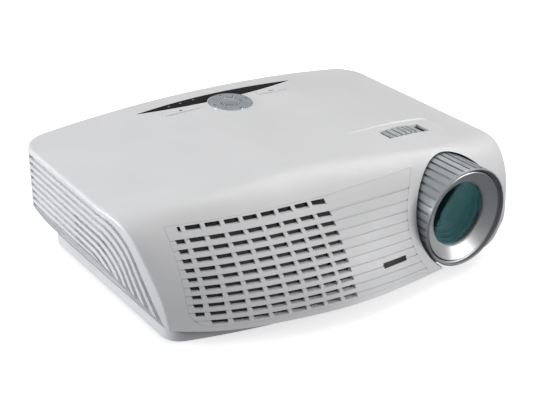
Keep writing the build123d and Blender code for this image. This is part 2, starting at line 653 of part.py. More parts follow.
def make_rear():
    """Recessed connector panel with the sockets in it."""
    x, z = BAY_X, BAY_Z
    plate = block((x[0] - 4, x[1] + 4), PANEL_Y, (z[0] - 4, z[1] + 4))
    rim = block((x[0] - 2, x[1] + 2), (PANEL_Y[1], 118), (z[0] - 2, z[1] + 2))
    rim -= block(x, (100, 130), z)
    panel = plate + (rim & HOLLOW)
    holes = [block((AC_X - 14, AC_X + 14), (100, 120), (AC_Z - 10.5, AC_Z + 10.5))]
    holes += [block((hx - 8, hx + 8), (100, 120), (PORT_Z - 3.5, PORT_Z + 3.5)) for hx in DIGITAL_X]
    holes.append(block((VGA_X - 15.5, VGA_X + 15.5), (100, 120), (PORT_Z - 6.5, PORT_Z + 6.5)))
    holes += [rod_y(jx, PORT_Z, 100, 120, 5.0) for jx in JACK_X]
    holes.append(rod_y(TRIGGER_X, PORT_Z, 100, 120, 4.0))
    holes.append(block((SERVICE_X - 4.5, SERVICE_X + 4.5), (100, 120), (PORT_Z - 2.5, PORT_Z + 2.5)))
    save("rear_panel", panel - holes)
    inlet = block((AC_X - 13.9, AC_X + 13.9), (88, PANEL_Y[1] + 1), (AC_Z - 10.4, AC_Z + 10.4))
    inlet -= block((AC_X - 12.3, AC_X + 12.3), (93, 120), (AC_Z - 8.4, AC_Z + 8.4))
    pins = [
        block((AC_X + dx - 1, AC_X + dx + 1), (84, 101), (AC_Z + dz - 2, AC_Z + dz + 2))
        for dx, dz in ((-7, -2), (7, -2), (0, 3))
    ]
    save("ac_inlet", inlet - pins)
    save("ac_inlet_pins", *pins)
    sockets = []
    for hx in DIGITAL_X:
        shell = block((hx - 7.8, hx + 7.8), (96, PANEL_Y[1] + 0.6), (PORT_Z - 3.3, PORT_Z + 3.3))
        shell -= block((hx - 7.1, hx + 7.1), (98, 120), (PORT_Z - 2.6, PORT_Z + 2.6))
        sockets.append(shell + block((hx - 5.5, hx + 5.5), (97, 101), (PORT_Z - 0.6, PORT_Z + 0.6)))
    save("digital_video_sockets", *sockets)
    vga = block((VGA_X - 15.4, VGA_X + 15.4), (98, PANEL_Y[1] + 0.8), (PORT_Z - 6.4, PORT_Z + 6.4))
    ring = Pos(VGA_X, PORT_Z) * RectangleRounded(17, 8.6, 2.5)
    vga += Pos(0, PANEL_Y[1] + 6.0, 0) * extrude(Plane.XZ * ring, 6)
    nuts = [rod_y(VGA_X + dx, PORT_Z, PANEL_Y[1], PANEL_Y[1] + 5, 2.4) for dx in (-12.2, 12.2)]
    for n in range(5):
        vga -= rod_y(VGA_X - 4.6 + 2.3 * n, PORT_Z, PANEL_Y[1] + 1, 120, 0.55)
    save("computer_port", vga + nuts)
    barrels = []
    for jx in JACK_X:
        barrel = rod_y(jx, PORT_Z, 98, PANEL_Y[1] + 8.5, 4.15)
        barrels.append(barrel - rod_y(jx, PORT_Z, 102, 130, 1.7))
    save("video_jacks", *barrels)
    trigger = rod_y(TRIGGER_X, PORT_Z, 98, PANEL_Y[1] + 1, 3.9)
    save("trigger_jack", trigger - rod_y(TRIGGER_X, PORT_Z, 100, 120, 1.8))
    service = block((SERVICE_X - 4.4, SERVICE_X + 4.4), (100, PANEL_Y[1] + 0.4), (PORT_Z - 2.4, PORT_Z + 2.4))
    service -= block((SERVICE_X - 3.6, SERVICE_X + 3.6), (102, 120), (PORT_Z - 1.6, PORT_Z + 1.6))
    save("service_port", service)


def make_boards():
    board_z = PORT_Z - 8.0
    main = block((-44, 126), (66, 106), (board_z - 1.6, board_z))
    chips = [
        block((10, 38), (72, 94), (board_z, board_z + 2.4)),
        block((56, 74), (74, 90), (board_z, board_z + 2.0)),
    ]
    chips += [rod_z(92 + 9 * n, 76, board_z, board_z + 9, 3.6) for n in range(3)]
    save("main_board", main + chips)
    shield = block((-42, 124), (67, 96), (PORT_Z + 12, PORT_Z + 12.8)) + block(
        (-42, 124), (67, 67.8), (board_z + 0.1, PORT_Z + 12.8)
    )
    save("board_shield", shield)
    supply = block((-138, -68), (-8, 56), (12, 13.6))
    supply += block((-132, -104), (0, 26), (13.6, 42)) + block((-98, -94), (0, 50), (13.6, 46))
    supply += [rod_z(-82, 8 + 16 * n, 13.6, 40, 7) for n in range(3)]
    save("power_board", supply)
    ballast = block((-52, 48), (60, 80), (16, 17.6)) + block((-46, -16), (62, 78), (17.6, 33))
    ballast += [rod_z(4 + 16 * n, 70, 17.6, 32, 5) for n in range(3)]
    save("lamp_ballast_board", ballast)


def make_light_engine():
    x, y, z = (52.0, 124.0), (10.0, 52.0), (16.0, 82.0)
    wall = 2.5
    inside = block((x[0] + wall, x[1] - wall), (y[0] + wall, y[1] - wall), (z[0] + wall, z[1]))
    housing = block(x, y, z) - inside - lens_rod(0, 20, 18)
    housing -= rod_x(LAMP_AXIS[0], LAMP_AXIS[1], x[0] - 1, x[0] + 5, 7)
    housing -= block((LENS_X - 12, LENS_X + 12), (y[1] - 5, y[1] + 5), (LENS_Z - 9, LENS_Z + 9))
    save("light_engine_housing", housing)
    save("light_engine_lid", block(x, y, (z[1], z[1] + 2)))
    axis_y, axis_z = LAMP_AXIS
    save("light_tunnel", block((56, 76), (axis_y - 4, axis_y + 4), (axis_z - 3, axis_z + 3)))
    save("imager_board", block((66, 116), (y[1], y[1] + 1.6), (24, 74)) + block(
        (LENS_X - 11, LENS_X + 11), (y[1] - 2.4, y[1]), (LENS_Z - 8, LENS_Z + 8)
    ))
    back = y[1] + 1.6
    sink = block((LENS_X - 18, LENS_X + 18), (back, back + 2.5), (LENS_Z - 18, LENS_Z + 6))
    for n in range(8):
        fin = LENS_X - 18 + 5 * n
        sink += block((fin, fin + 1.6), (back, back + 11), (LENS_Z - 18, LENS_Z + 6))
    save("imager_heatsink", sink)
    wheel_y, wheel_z = LAMP_AXIS[0], LAMP_AXIS[1] + 15
    shaft = rod_x(wheel_y, wheel_z, WHEEL_X, WHEEL_X + 8, 1.2)
    disc = rod_x(wheel_y, wheel_z, WHEEL_X, WHEEL_X + 1.1, WHEEL_RADIUS)
    save("colour_wheel", disc + rod_x(wheel_y, wheel_z, WHEEL_X - 1.6, WHEEL_X, 8) + shaft)
    motor = rod_x(wheel_y, wheel_z, WHEEL_X + 2, WHEEL_X + 12, 9)
    motor -= rod_x(wheel_y, wheel_z, WHEEL_X, WHEEL_X + 11, 1.25)
    bracket = block((WHEEL_X + 12, x[0]), (wheel_y - 12, wheel_y + 12), (wheel_z - 4, wheel_z + 18))
    save("colour_wheel_motor", motor + bracket)


def make_lamp():
    y, z = LAMP_AXIS
    shell = block((-38, 30), (y - 26, y + 26), (z - 27, z + 27))
    save("lamp_housing", shell - block((-35, 40), (y - 23.5, y + 23.5), (z - 24.5, z + 24.5)))
    inner = ThreePointArc((-22, 4), (-4, 15), (22, 21.5))
    outer = ThreePointArc((22, 23.3), (-6, 16.6), (-26, 4))
    dish = make_face([inner, Line(inner @ 1, outer @ 0), outer, Line(outer @ 1, inner @ 0)])
    save("lamp_reflector", Pos(0, y, z) * revolve(dish, Axis.X))
    save("lamp_window", rod_x(y, z, 22, 24, 23.3))
    save("lamp_burner", rod_x(y, z, -30, 4, 2.4) + rod_x(y, z, -12, -4, 4.4))


def rotor_blade(depth, radius, hub, lean):
    """One fan blade, leaning about the radius it stands on."""
    return Pos(0, 0, (hub + radius) / 2) * Rot(0, 0, lean) * Box(1.4, depth, radius - hub + 1)


def make_fans():
    x, y, z = FAN_X, FAN_Y, FAN_Z
    centre_x, centre_z = sum(x) / 2, sum(z) / 2
    bore = 33.0
    frame = block(x, y, z) - rod_y(centre_x, centre_z, y[0] - 1, y[1] + 1, bore)
    hub = rod_y(centre_x, centre_z, y[1] - 5, y[1], 12)
    arms = block((centre_x - 33.5, centre_x + 33.5), (y[1] - 3, y[1]), (centre_z - 2, centre_z + 2))
    arms += block((centre_x - 2, centre_x + 2), (y[1] - 3, y[1]), (centre_z - 33.5, centre_z + 33.5))
    frame += hub + arms
    frame -= rod_y(centre_x, centre_z, y[0], y[1] - 1, 1.55)
    save("exhaust_fan_frame", frame)
    rotor = rod_y(centre_x, centre_z, y[0] + 2, y[1] - 6, 13)
    rotor += rod_y(centre_x, centre_z, y[1] - 6, y[1] - 2, 1.5)
    blade_y = (y[0] + 3, y[1] - 7)
    for n in range(7):
        blade = rotor_blade(blade_y[1] - blade_y[0], 31.5, 13, 35)
        rotor += Pos(centre_x, sum(blade_y) / 2, centre_z) * Rot(0, 360 * n / 7, 0) * blade
    save("exhaust_fan_rotor", rotor & rod_y(centre_x, centre_z, y[0] + 2, y[1] - 2, 31.5))
    x, y, z = BLOWER_X, BLOWER_Y, BLOWER_Z
    centre_x, centre_z = sum(x) / 2, sum(z) / 2
    case = block(x, y, z) - rod_y(centre_x, centre_z, y[0] + 1.5, y[1] - 1.5, 22.5)
    case -= block((centre_x, x[1] + 1), (y[0] + 1.5, y[1] - 1.5), (centre_z + 4, z[1] - 2.5))
    case -= rod_y(centre_x, centre_z, y[1] - 3, y[1] + 1, 14)
    case += rod_y(centre_x, centre_z, y[0], y[0] + 4, 5)
    save("lamp_blower_case", case - rod_y(centre_x, centre_z, y[0] + 1, y[0] + 5, 1.25))
    hub = rod_y(centre_x, centre_z, y[0] + 5, y[1] - 2, 8)
    hub += rod_y(centre_x, centre_z, y[0] + 2, y[0] + 5, 1.2)
    disc = rod_y(centre_x, centre_z, y[0] + 5, y[0] + 6, 19)
    impeller = hub + disc
    for n in range(20):
        vane = Pos(0, (y[0] + y[1]) / 2 + 1.8, 16.5) * Box(1.0, 8.4, 5)
        impeller += Pos(centre_x, 0, centre_z) * Rot(0, 18 * n, 0) * vane
    save("lamp_blower_impeller", impeller)


save("front_grille", make_grille())
save("ir_window", make_ir_window())
save("top_cover", make_top_cover())
save("base_case", make_base())
make_lens_parts()
make_controls()
make_feet()
make_fastenings()
make_rear()
make_boards()
make_light_engine()
make_lamp()
make_fans()
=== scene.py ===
import json
import math

import bmesh
import bpy
from mathutils import Matrix, Vector
from mathutils.bvhtree import BVHTree


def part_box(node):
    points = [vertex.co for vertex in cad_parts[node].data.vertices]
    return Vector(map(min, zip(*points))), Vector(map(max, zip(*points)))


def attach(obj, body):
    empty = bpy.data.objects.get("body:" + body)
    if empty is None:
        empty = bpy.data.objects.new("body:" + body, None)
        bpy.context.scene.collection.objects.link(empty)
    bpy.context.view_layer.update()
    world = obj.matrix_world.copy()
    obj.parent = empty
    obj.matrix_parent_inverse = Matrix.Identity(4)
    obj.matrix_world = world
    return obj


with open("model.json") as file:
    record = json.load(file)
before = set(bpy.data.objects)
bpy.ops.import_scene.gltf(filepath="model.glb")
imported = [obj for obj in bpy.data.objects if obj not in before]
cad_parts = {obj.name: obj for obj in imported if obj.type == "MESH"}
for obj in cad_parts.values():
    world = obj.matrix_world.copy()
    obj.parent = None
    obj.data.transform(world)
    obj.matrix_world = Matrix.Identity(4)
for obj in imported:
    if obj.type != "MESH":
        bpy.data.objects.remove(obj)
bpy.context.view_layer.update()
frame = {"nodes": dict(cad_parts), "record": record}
MM = 0.001


# ---------------------------------------------------------------- materials

def shader(name, colour, roughness, metallic=0.0, **sockets):
    """Principled material; extra sockets are given by name with underscores for spaces."""
    material = bpy.data.materials.new(name)
    material.use_nodes = True
    bsdf = material.node_tree.nodes["Principled BSDF"]
    bsdf.inputs["Base Color"].default_value = (*colour, 1.0)
    bsdf.inputs["Roughness"].default_value = roughness
    bsdf.inputs["Metallic"].default_value = metallic
    for socket, value in sockets.items():
        bsdf.inputs[socket.replace("_", " ")].default_value = value
    return material


def noise(tree, scale, detail=3.0):
    """Noise texture in object coordinates; scale is features per metre."""
    place = tree.nodes.new("ShaderNodeTexCoord")
    texture = tree.nodes.new("ShaderNodeTexNoise")
    texture.inputs["Scale"].default_value = scale
    texture.inputs["Detail"].default_value = detail
    tree.links.new(place.outputs["Object"], texture.inputs["Vector"])
    return texture.outputs["Fac"]


def spread(tree, value, low, high):
    """Noise value remapped to a range."""
    node = tree.nodes.new("ShaderNodeMapRange")
    node.inputs["From Min"].default_value = 0.3
    node.inputs["From Max"].default_value = 0.7
    node.inputs["To Min"].default_value = low
    node.inputs["To Max"].default_value = high
    tree.links.new(value, node.inputs["Value"])
    return node.outputs["Result"]


def grain(material, fine, height, tone=0.03, gloss=0.06, broad=18.0):
    """Adds moulded texture: a fine bump, a faint broad change of tone and an uneven gloss."""
    tree = material.node_tree
    bsdf = tree.nodes["Principled BSDF"]
    colour = Vector(bsdf.inputs["Base Color"].default_value[:3])
    roughness = bsdf.inputs["Roughness"].default_value
    mix = tree.nodes.new("ShaderNodeMix")
    mix.data_type = "RGBA"
    mix.inputs["A"].default_value = (*(colour * (1 - tone)), 1.0)
    mix.inputs["B"].default_value = (*(colour * (1 + tone)), 1.0)
    tree.links.new(spread(tree, noise(tree, broad), 0.0, 1.0), mix.inputs["Factor"])
    tree.links.new(mix.outputs["Result"], bsdf.inputs["Base Color"])
    uneven = spread(tree, noise(tree, broad * 9), max(roughness - gloss, 0.02), roughness + gloss)
    tree.links.new(uneven, bsdf.inputs["Roughness"])
    bump = tree.nodes.new("ShaderNodeBump")
    bump.inputs["Strength"].default_value = 0.4
    bump.inputs["Distance"].default_value = height
    tree.links.new(noise(tree, fine, 2.0), bump.inputs["Height"])
    tree.links.new(bump.outputs["Normal"], bsdf.inputs["Normal"])
    return material


def turned(material, axis_x, axis_z, lines, depth):
    """Adds fine turned lines round an axis along Y."""
    tree = material.node_tree
    place = tree.nodes.new("ShaderNodeTexCoord")
    shift = tree.nodes.new("ShaderNodeMapping")
    shift.inputs["Location"].default_value = (-axis_x, 0, -axis_z)
    shift.inputs["Scale"].default_value = (1, 0, 1)
    rings = tree.nodes.new("ShaderNodeTexWave")
    rings.wave_type = "RINGS"
    rings.rings_direction = "SPHERICAL"
    rings.inputs["Scale"].default_value = lines
    bump = tree.nodes.new("ShaderNodeBump")
    bump.inputs["Strength"].default_value = 0.3
    bump.inputs["Distance"].default_value = depth
    tree.links.new(place.outputs["Object"], shift.inputs["Vector"])
    tree.links.new(shift.outputs["Vector"], rings.inputs["Vector"])
    tree.links.new(rings.outputs["Fac"], bump.inputs["Height"])
    tree.links.new(bump.outputs["Normal"], tree.nodes["Principled BSDF"].inputs["Normal"])
    return material


WHITE = (0.76, 0.76, 0.765)

# The lens axis in metres, and the faint turned lines of a coated element round it
LENS_AXIS_X = 0.0906
LENS_AXIS_Z = 0.0488
COATING_LINES = 90
COATING_DEPTH = 0.00001

MATERIALS = {
    "case_white": grain(
        shader("case_white", WHITE, 0.36, Coat_Weight=0.12, Coat_Roughness=0.25), 2600, 0.00003),
    "grille_white": grain(shader("grille_white", WHITE, 0.42), 2600, 0.00003),
    "base_grey": grain(shader("base_grey", (0.66, 0.66, 0.67), 0.5), 1500, 0.00012, 0.04),
    "rear_grey": grain(shader("rear_grey", (0.55, 0.55, 0.56), 0.5), 1500, 0.00012, 0.04),
    "gloss_black": grain(
        shader("gloss_black", (0.003, 0.003, 0.004), 0.2, Specular_IOR_Level=0.1), 300, 0.000004, 0.3, 0.03),
    "light_pipe": grain(shader("light_pipe", (0.35, 0.40, 0.42), 0.2, Transmission_Weight=0.3), 800, 0.00002),
    "nav_silver": grain(shader("nav_silver", (0.62, 0.66, 0.69), 0.24, 0.75, Coat_Weight=0.4), 1800, 0.00002),
    "ring_silver": grain(shader("ring_silver", (0.44, 0.46, 0.47), 0.34, 0.50), 2200, 0.00003, 0.04),
    "ring_grey": grain(shader("ring_grey", (0.50, 0.54, 0.54), 0.36, 0.35), 2200, 0.00003, 0.04),
    "cell_silver": grain(shader("cell_silver", (0.60, 0.60, 0.61), 0.34, 0.55), 2400, 0.000003),
    "lens_glass": grain(
        shader("lens_glass", (0.55, 0.88, 0.89), 0.03, Transmission_Weight=1.0, IOR=1.5,
               Specular_Tint=(0.15, 0.80, 0.85, 1.0)),
        40, 0.000002, 0.1, 0.01),
    "filter_glass": grain(
        shader("filter_glass", (0.75, 0.65, 0.25), 0.05, Transmission_Weight=0.5), 30, 0.00001, 0.5),
    "black_plastic": grain(shader("black_plastic", (0.012, 0.012, 0.013), 0.55), 1800, 0.00008, 0.25),
    "cast_metal": grain(shader("cast_metal", (0.52, 0.53, 0.54), 0.5, 0.9), 700, 0.0002, 0.08, 0.1),
    "circuit_green": grain(
        shader("circuit_green", (0.012, 0.10, 0.035), 0.3, Coat_Weight=0.5), 260, 0.0001, 0.35, 0.1, 90),
    "sheet_steel": grain(shader("sheet_steel", (0.55, 0.55, 0.56), 0.3, 1.0), 900, 0.00004, 0.06, 0.1),
    "lamp_resin": grain(shader("lamp_resin", (0.035, 0.035, 0.038), 0.5), 1500, 0.0001, 0.2),
    "reflector": grain(shader("reflector", (0.85, 0.86, 0.90), 0.06, 1.0), 200, 0.00001, 0.03, 0.03),
    "plated": grain(shader("plated", (0.72, 0.72, 0.70), 0.2, 1.0), 900, 0.00003, 0.06, 0.08),
    "port_blue": grain(shader("port_blue", (0.02, 0.05, 0.32), 0.4), 1500, 0.00005, 0.1),
    "brass": grain(shader("brass", (0.62, 0.43, 0.14), 0.25, 1.0), 900, 0.00005, 0.1, 0.1),
    "screw_steel": grain(shader("screw_steel", (0.30, 0.30, 0.31), 0.32, 1.0), 1200, 0.00005, 0.12, 0.1),
    "foot_rubber": grain(shader("foot_rubber", (0.018, 0.018, 0.018), 0.75), 1200, 0.0002, 0.3, 0.1),
}

# Finishes of pieces that exist only in this model
COATING = turned(
    shader("coating", (0.003, 0.020, 0.022), 0.10, 0.85),
    LENS_AXIS_X, LENS_AXIS_Z, COATING_LINES, COATING_DEPTH)
BAFFLE = grain(shader("baffle", (0.006, 0.007, 0.007), 0.6), 1600, 0.00006, 0.2)
MARK = grain(shader("mark", (0.10, 0.11, 0.13), 0.45), 1500, 0.00002, 0.1)
COLLARS = [
    grain(shader(f"collar_{name}", colour, 0.4), 1500, 0.00003, 0.08)
    for name, colour in (("yellow", (0.75, 0.50, 0.02)), ("red", (0.55, 0.02, 0.02)),
                         ("green", (0.02, 0.32, 0.07)), ("blue", (0.02, 0.08, 0.45)))
]

for part in frame["record"]["subparts"]:
    node = frame["nodes"][part["node"]]
    for place in node.material_slots:
        place.material = MATERIALS[part["material_slot"]]


# ---------------------------------------------------------------- geometry helpers

MERGE_DISTANCE = 0.002 * MM
RAY_START = 0.2


def piece(name, points, faces, slot, body, smooth=True, material=None):
    """A mesh piece that rides on a body and takes its finish from a slot."""
    mesh = bpy.data.meshes.new(name)
    mesh.from_pydata([tuple(p) for p in points], [], faces)
    mesh.validate()
    bm = bmesh.new()
    bm.from_mesh(mesh)
    bmesh.ops.remove_doubles(bm, verts=bm.verts, dist=MERGE_DISTANCE)
    bmesh.ops.recalc_face_normals(bm, faces=bm.faces)
    bm.to_mesh(mesh)
    bm.free()
    for polygon in mesh.polygons:
        polygon.use_smooth = smooth
    obj = bpy.data.objects.new(name, mesh)
    bpy.context.collection.objects.link(obj)
    mesh.materials.append(material or MATERIALS[slot])
    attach(obj, body)
    return obj


def lathe(name, centre, profile, slot, body, material=None, steps=128):
    """Closed ring turned about an axis along Y from (radius, y) points in millimetres."""
    cx, cz = centre
    count = len(profile)
    points = []
    for n in range(steps):
        turn = math.tau * n / steps
        for radius, y in profile:
            points.append((cx + radius * MM * math.cos(turn), y * MM, cz + radius * MM * math.sin(turn)))
    faces = []
    for n in range(steps):
        for k in range(count):
            a = n * count + k
            b = n * count + (k + 1) % count
            c = ((n + 1) % steps) * count + (k + 1) % count
            d = ((n + 1) % steps) * count + k
            faces.append((a, b, c, d))
    return piece(name, points, faces, slot, body, material=material)


def tree_of(*nodes):
    """Ray-cast tree of CAD nodes at rest."""
    points = []
    faces = []
    for name in nodes:
        obj = frame["nodes"][name]
        start = len(points)
        points += [obj.matrix_world @ v.co for v in obj.data.vertices]
        faces += [[start + i for i in p.vertices] for p in obj.data.polygons]
    return BVHTree.FromPolygons(points, faces)


def sheet(name, rows, thickness, offset, slot, body):
    """Thin closed sheet through a grid of points, with its back face moved by a vector."""
    height = len(rows)
    width = len(rows[0])
    front = [p for row in rows for p in row]
    back = [p + offset * thickness for p in front]
    total = len(front)
    faces = []
    for r in range(height - 1):
        for c in range(width - 1):
            a = r * width + c
            quad = (a, a + 1, a + width + 1, a + width)
            faces.append(quad)
            faces.append(tuple(total + i for i in reversed(quad)))
    border = list(range(width))
    border += [r * width + width - 1 for r in range(1, height)]
    border += [(height - 1) * width + c for c in range(width - 2, -1, -1)]
    border += [r * width for r in range(height - 2, 0, -1)]
    for k, a in enumerate(border):
        b = border[(k + 1) % len(border)]
        faces.append((b, a, total + a, total + b))
    return piece(name, front + back, faces, slot, body)


def spaced(low, high, count):
    """Evenly spaced values with both ends."""
    return [low + (high - low) * n / (count - 1) for n in range(count)]


# ---------------------------------------------------------------- screens behind the openings

SCREEN_SETBACK = 5.6 * MM
SCREEN_THICKNESS = 0.4 * MM
SCREEN_REACH = 3 * MM
SCREEN_X = (3 * MM, 119 * MM)
SCREEN_Z = (2 * MM, 61 * MM)
SCREEN_COLUMNS = 36
SCREEN_ROWS = 22
SCREEN_SMOOTHING = 3
FRONT_RAY_START = -0.3


def grille_screen():
    """Dark dust screen close behind the front grille."""
    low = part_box("front_grille")[0]
    skin = tree_of("front_grille", "top_cover")

    def surface(x, z):
        hits = []
        for dx in (-2 * SCREEN_REACH, 0, 2 * SCREEN_REACH):
            for dz in (-SCREEN_REACH, 0, SCREEN_REACH):
                hit = skin.ray_cast(Vector((x + dx, FRONT_RAY_START, z + dz)), Vector((0, 1, 0)))[0]
                if hit:
                    hits.append(hit.y)
        return min(hits)

    xs = spaced(low.x + SCREEN_X[0], low.x + SCREEN_X[1], SCREEN_COLUMNS)
    zs = spaced(low.z + SCREEN_Z[0], low.z + SCREEN_Z[1], SCREEN_ROWS)
    rows = [[Vector((x, surface(x, z) + SCREEN_SETBACK, z)) for x in xs] for z in zs]
    for _ in range(SCREEN_SMOOTHING):
        for r in range(1, len(rows) - 1):
            for c in range(1, len(xs) - 1):
                near = rows[r - 1][c].y + rows[r + 1][c].y + rows[r][c - 1].y + rows[r][c + 1].y
                rows[r][c].y = near / 4
    sheet("dust_screen", rows, SCREEN_THICKNESS, Vector((0, 1, 0)), "black_plastic", "case")


VENT_WALL = 5.0 * MM
VENT_Z = (30 * MM, 72 * MM)
VENT_Y = (-30 * MM, 32 * MM)
SKIRT_Z = 42 * MM
SKIRT_LEAN = 0.62
VENT_ROWS = 12
VENT_COLUMNS = 8


def vent_screens():
    """Dark screens inside the side vents."""
    low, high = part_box("top_cover")
    for side, edge in (("left", low.x), ("right", high.x)):
        inward = -1 if edge > 0 else 1
        rows = []
        for z in spaced(*VENT_Z, VENT_ROWS):
            x = edge + inward * (VENT_WALL + max(0, SKIRT_Z - z) * SKIRT_LEAN)
            rows.append([Vector((x, y, z)) for y in spaced(*VENT_Y, VENT_COLUMNS)])
        sheet(f"vent_screen_{side}", rows, SCREEN_THICKNESS, Vector((inward, 0, 0)), "black_plastic", "case")


# ---------------------------------------------------------------- lens interior

RECESS_RADIUS = 36.3
LINING = 0.15
GLASS_RADIUS = 25.4
BAFFLE_STEPS = 5
BAFFLE_PITCH = 3.4
BAFFLE_STEP = 2.6
BAFFLE_EDGE = 1.5
BAFFLE_LIP = 0.3
BAFFLE_CHAMFER = 0.5
LINING_GAP = 0.02
LINING_FRONT = 3.6
LINING_LEAD_IN = 0.2
LINING_REAR = 5.0
GLASS_GAP = 0.4
GLASS_MARGIN = 0.1

# Radius, setback behind the front glass, and bulge of each inner element, in millimetres
INNER_DOMES = ((16.5, 12.0, 3.2), (11.0, 17.5, 2.6))
DOME_STEPS = 13
DOME_EDGE = 0.8


def lens_interior():
    """Black lining of the ring's recess, stepped baffle behind the front glass, and coated inner elements."""
    ring_low, ring_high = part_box("focus_ring")
    centre = ((ring_low.x + ring_high.x) / 2, (ring_low.z + ring_high.z) / 2)
    ring_front = ring_low.y / MM
    flange_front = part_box("focus_cell")[0].y / MM
    wall = RECESS_RADIUS - LINING
    lathe("recess_lining", centre, [
        (RECESS_RADIUS - LINING_GAP, ring_front + LINING_FRONT),
        (wall, ring_front + LINING_FRONT + LINING_LEAD_IN),
        (wall, flange_front + LINING_REAR), (RECESS_RADIUS - LINING_GAP, flange_front + LINING_REAR),
    ], "black_plastic", "focus_ring")
    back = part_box("front_lens")[1].y / MM + GLASS_GAP
    edge = GLASS_RADIUS - GLASS_MARGIN
    profile = [(edge, back), (edge, back + BAFFLE_STEPS * BAFFLE_PITCH)]
    for n in reversed(range(BAFFLE_STEPS)):
        inner = edge - BAFFLE_EDGE - n * BAFFLE_STEP
        step = back + n * BAFFLE_PITCH
        profile += [(inner, back + (n + 1) * BAFFLE_PITCH), (inner, step + BAFFLE_LIP)]
        profile.append((inner + BAFFLE_CHAMFER, step))
    lathe("lens_baffle", centre, profile, "black_plastic", "focus_cell", material=BAFFLE)
    for number, (radius, setback, bulge) in enumerate(INNER_DOMES):
        rim = back + setback
        dome = []
        for share in spaced(0, 1, DOME_STEPS):
            dome.append((radius * share, rim - bulge * (1 - share ** 2)))
        dome += [(radius, rim + DOME_EDGE), (0, rim + DOME_EDGE)]
        lathe(f"inner_element_{number}", centre, dome, "lens_glass", "focus_cell", material=COATING)


# ---------------------------------------------------------------- details on the cover

WINDOW_X = (73.5, 114.5)
WINDOW_Y = (-43.4, -28.5)
BROW_REACH_LEFT = 21.5
BROW_BEHIND = 10.0
BROW_BESIDE = 16.5
BROW_AHEAD = 5.3
BROW_LEAN = 5.0
BROW_CORNER = 5.0
BROW_HEIGHT = 0.8
BROW_HALF_WIDTH = 2.0
BROW_BEDDED = 0.02
BROW_STRAIGHT_STEPS = 40
BROW_CORNER_STEPS = 12
BROW_SIDE_STEPS = 20
BROW_ACROSS_STEPS = 11
BROW_NARROWEST = 0.4
SUNK = 0.25


def top_of(tree, x, y):
    """Height of the uppermost surface at a place given in metres."""
    return tree.ray_cast(Vector((x, y, RAY_START)), Vector((0, 0, -1)))[0].z


def window_brow():
    """Soft raised line that runs behind the zoom window and down beside it, fading at both ends."""
    cover = tree_of("top_cover")
    rear = WINDOW_Y[1] + BROW_BEHIND
    side = WINDOW_X[1] + BROW_BESIDE
    left = WINDOW_X[0] - BROW_REACH_LEFT
    path = [Vector((x, rear)) for x in spaced(left, side - BROW_CORNER, BROW_STRAIGHT_STEPS)]
    for turn in spaced(0, math.pi / 2, BROW_CORNER_STEPS)[1:]:
        offset = Vector((math.sin(turn), math.cos(turn))) * BROW_CORNER
        path.append(Vector((side - BROW_CORNER, rear - BROW_CORNER)) + offset)
    end = WINDOW_Y[0] - BROW_AHEAD
    for share in spaced(0, 1, BROW_SIDE_STEPS)[1:]:
        along = rear - BROW_CORNER + (end - rear + BROW_CORNER) * share
        path.append(Vector((side - BROW_LEAN * share ** 2, along)))
    rows = []
    last = len(path) - 1
    for k, point in enumerate(path):
        ahead = path[min(k + 1, last)] - path[max(k - 1, 0)]
        across = Vector((-ahead.y, ahead.x)).normalized()
        fade = max(0.0, math.sin(math.pi * min(k, last - k) / last)) ** 0.4
        half_width = BROW_HALF_WIDTH * (BROW_NARROWEST + (1 - BROW_NARROWEST) * fade)
        row = []
        for share in spaced(-1, 1, BROW_ACROSS_STEPS):
            place = (point + across * share * half_width) * MM
            rise = BROW_HEIGHT * fade * math.cos(share * math.pi / 2) ** 2
            height = top_of(cover, place.x, place.y) + (rise - BROW_BEDDED) * MM
            row.append(Vector((place.x, place.y, height)))
        rows.append(row)
    sheet("window_brow", rows, SUNK * MM, Vector((0, 0, -1)), "case_white", "case")


MARK_PROUD = 0.03


def mark(name, node, body, outline, material=MARK, slot="black_plastic"):
    """Thin printed-on shape lying on top of a node; the outline is in millimetres from its box centre."""
    tree = tree_of(node)
    low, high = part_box(node)
    centre = (low + high) / 2
    points = []
    for height in (MARK_PROUD, -SUNK):
        for x, y in outline:
            px, py = centre.x + x * MM, centre.y + y * MM
            points.append(Vector((px, py, top_of(tree, px, py) + height * MM)))
    count = len(outline)
    faces = [tuple(range(count)), tuple(range(2 * count - 1, count - 1, -1))]
    faces += [(n, (n + 1) % count, count + (n + 1) % count, count + n) for n in range(count)]
    piece(name, points, faces, slot, body, smooth=False, material=material)


ARROW_SIZE = 1.5
ARROW_OFFSET = 1.9
ARROW_LENGTH = 1.6
DOT_RADIUS = 1.3
DOT_STEPS = 24
BAR_HALF_LENGTH = 2.2
BAR_HALF_WIDTH = 0.55


def key_marks():
    """Plain arrows on the four pads and plain shapes on the two keys."""
    tip = ARROW_OFFSET + ARROW_LENGTH * ARROW_SIZE
    arrow = [(-ARROW_SIZE, ARROW_OFFSET), (ARROW_SIZE, ARROW_OFFSET), (0, tip)]
    for name, turn in (("nav_up", 0), ("nav_right", 90), ("nav_down", 180), ("nav_left", 270)):
        angle = math.radians(turn)
        c, s = math.cos(angle), math.sin(angle)
        mark(f"{name}_arrow", name, name, [(x * c + y * s, -x * s + y * c) for x, y in arrow])
    disc = []
    for n in range(DOT_STEPS):
        angle = math.tau * n / DOT_STEPS
        disc.append((DOT_RADIUS * math.cos(angle), DOT_RADIUS * math.sin(angle)))
    mark("power_dot", "power_button", "power_button", disc)
    bar = [(-BAR_HALF_LENGTH, -BAR_HALF_WIDTH), (BAR_HALF_LENGTH, -BAR_HALF_WIDTH),
           (BAR_HALF_LENGTH, BAR_HALF_WIDTH), (-BAR_HALF_LENGTH, BAR_HALF_WIDTH)]
    mark("source_bar", "source_button", "source_button", bar)


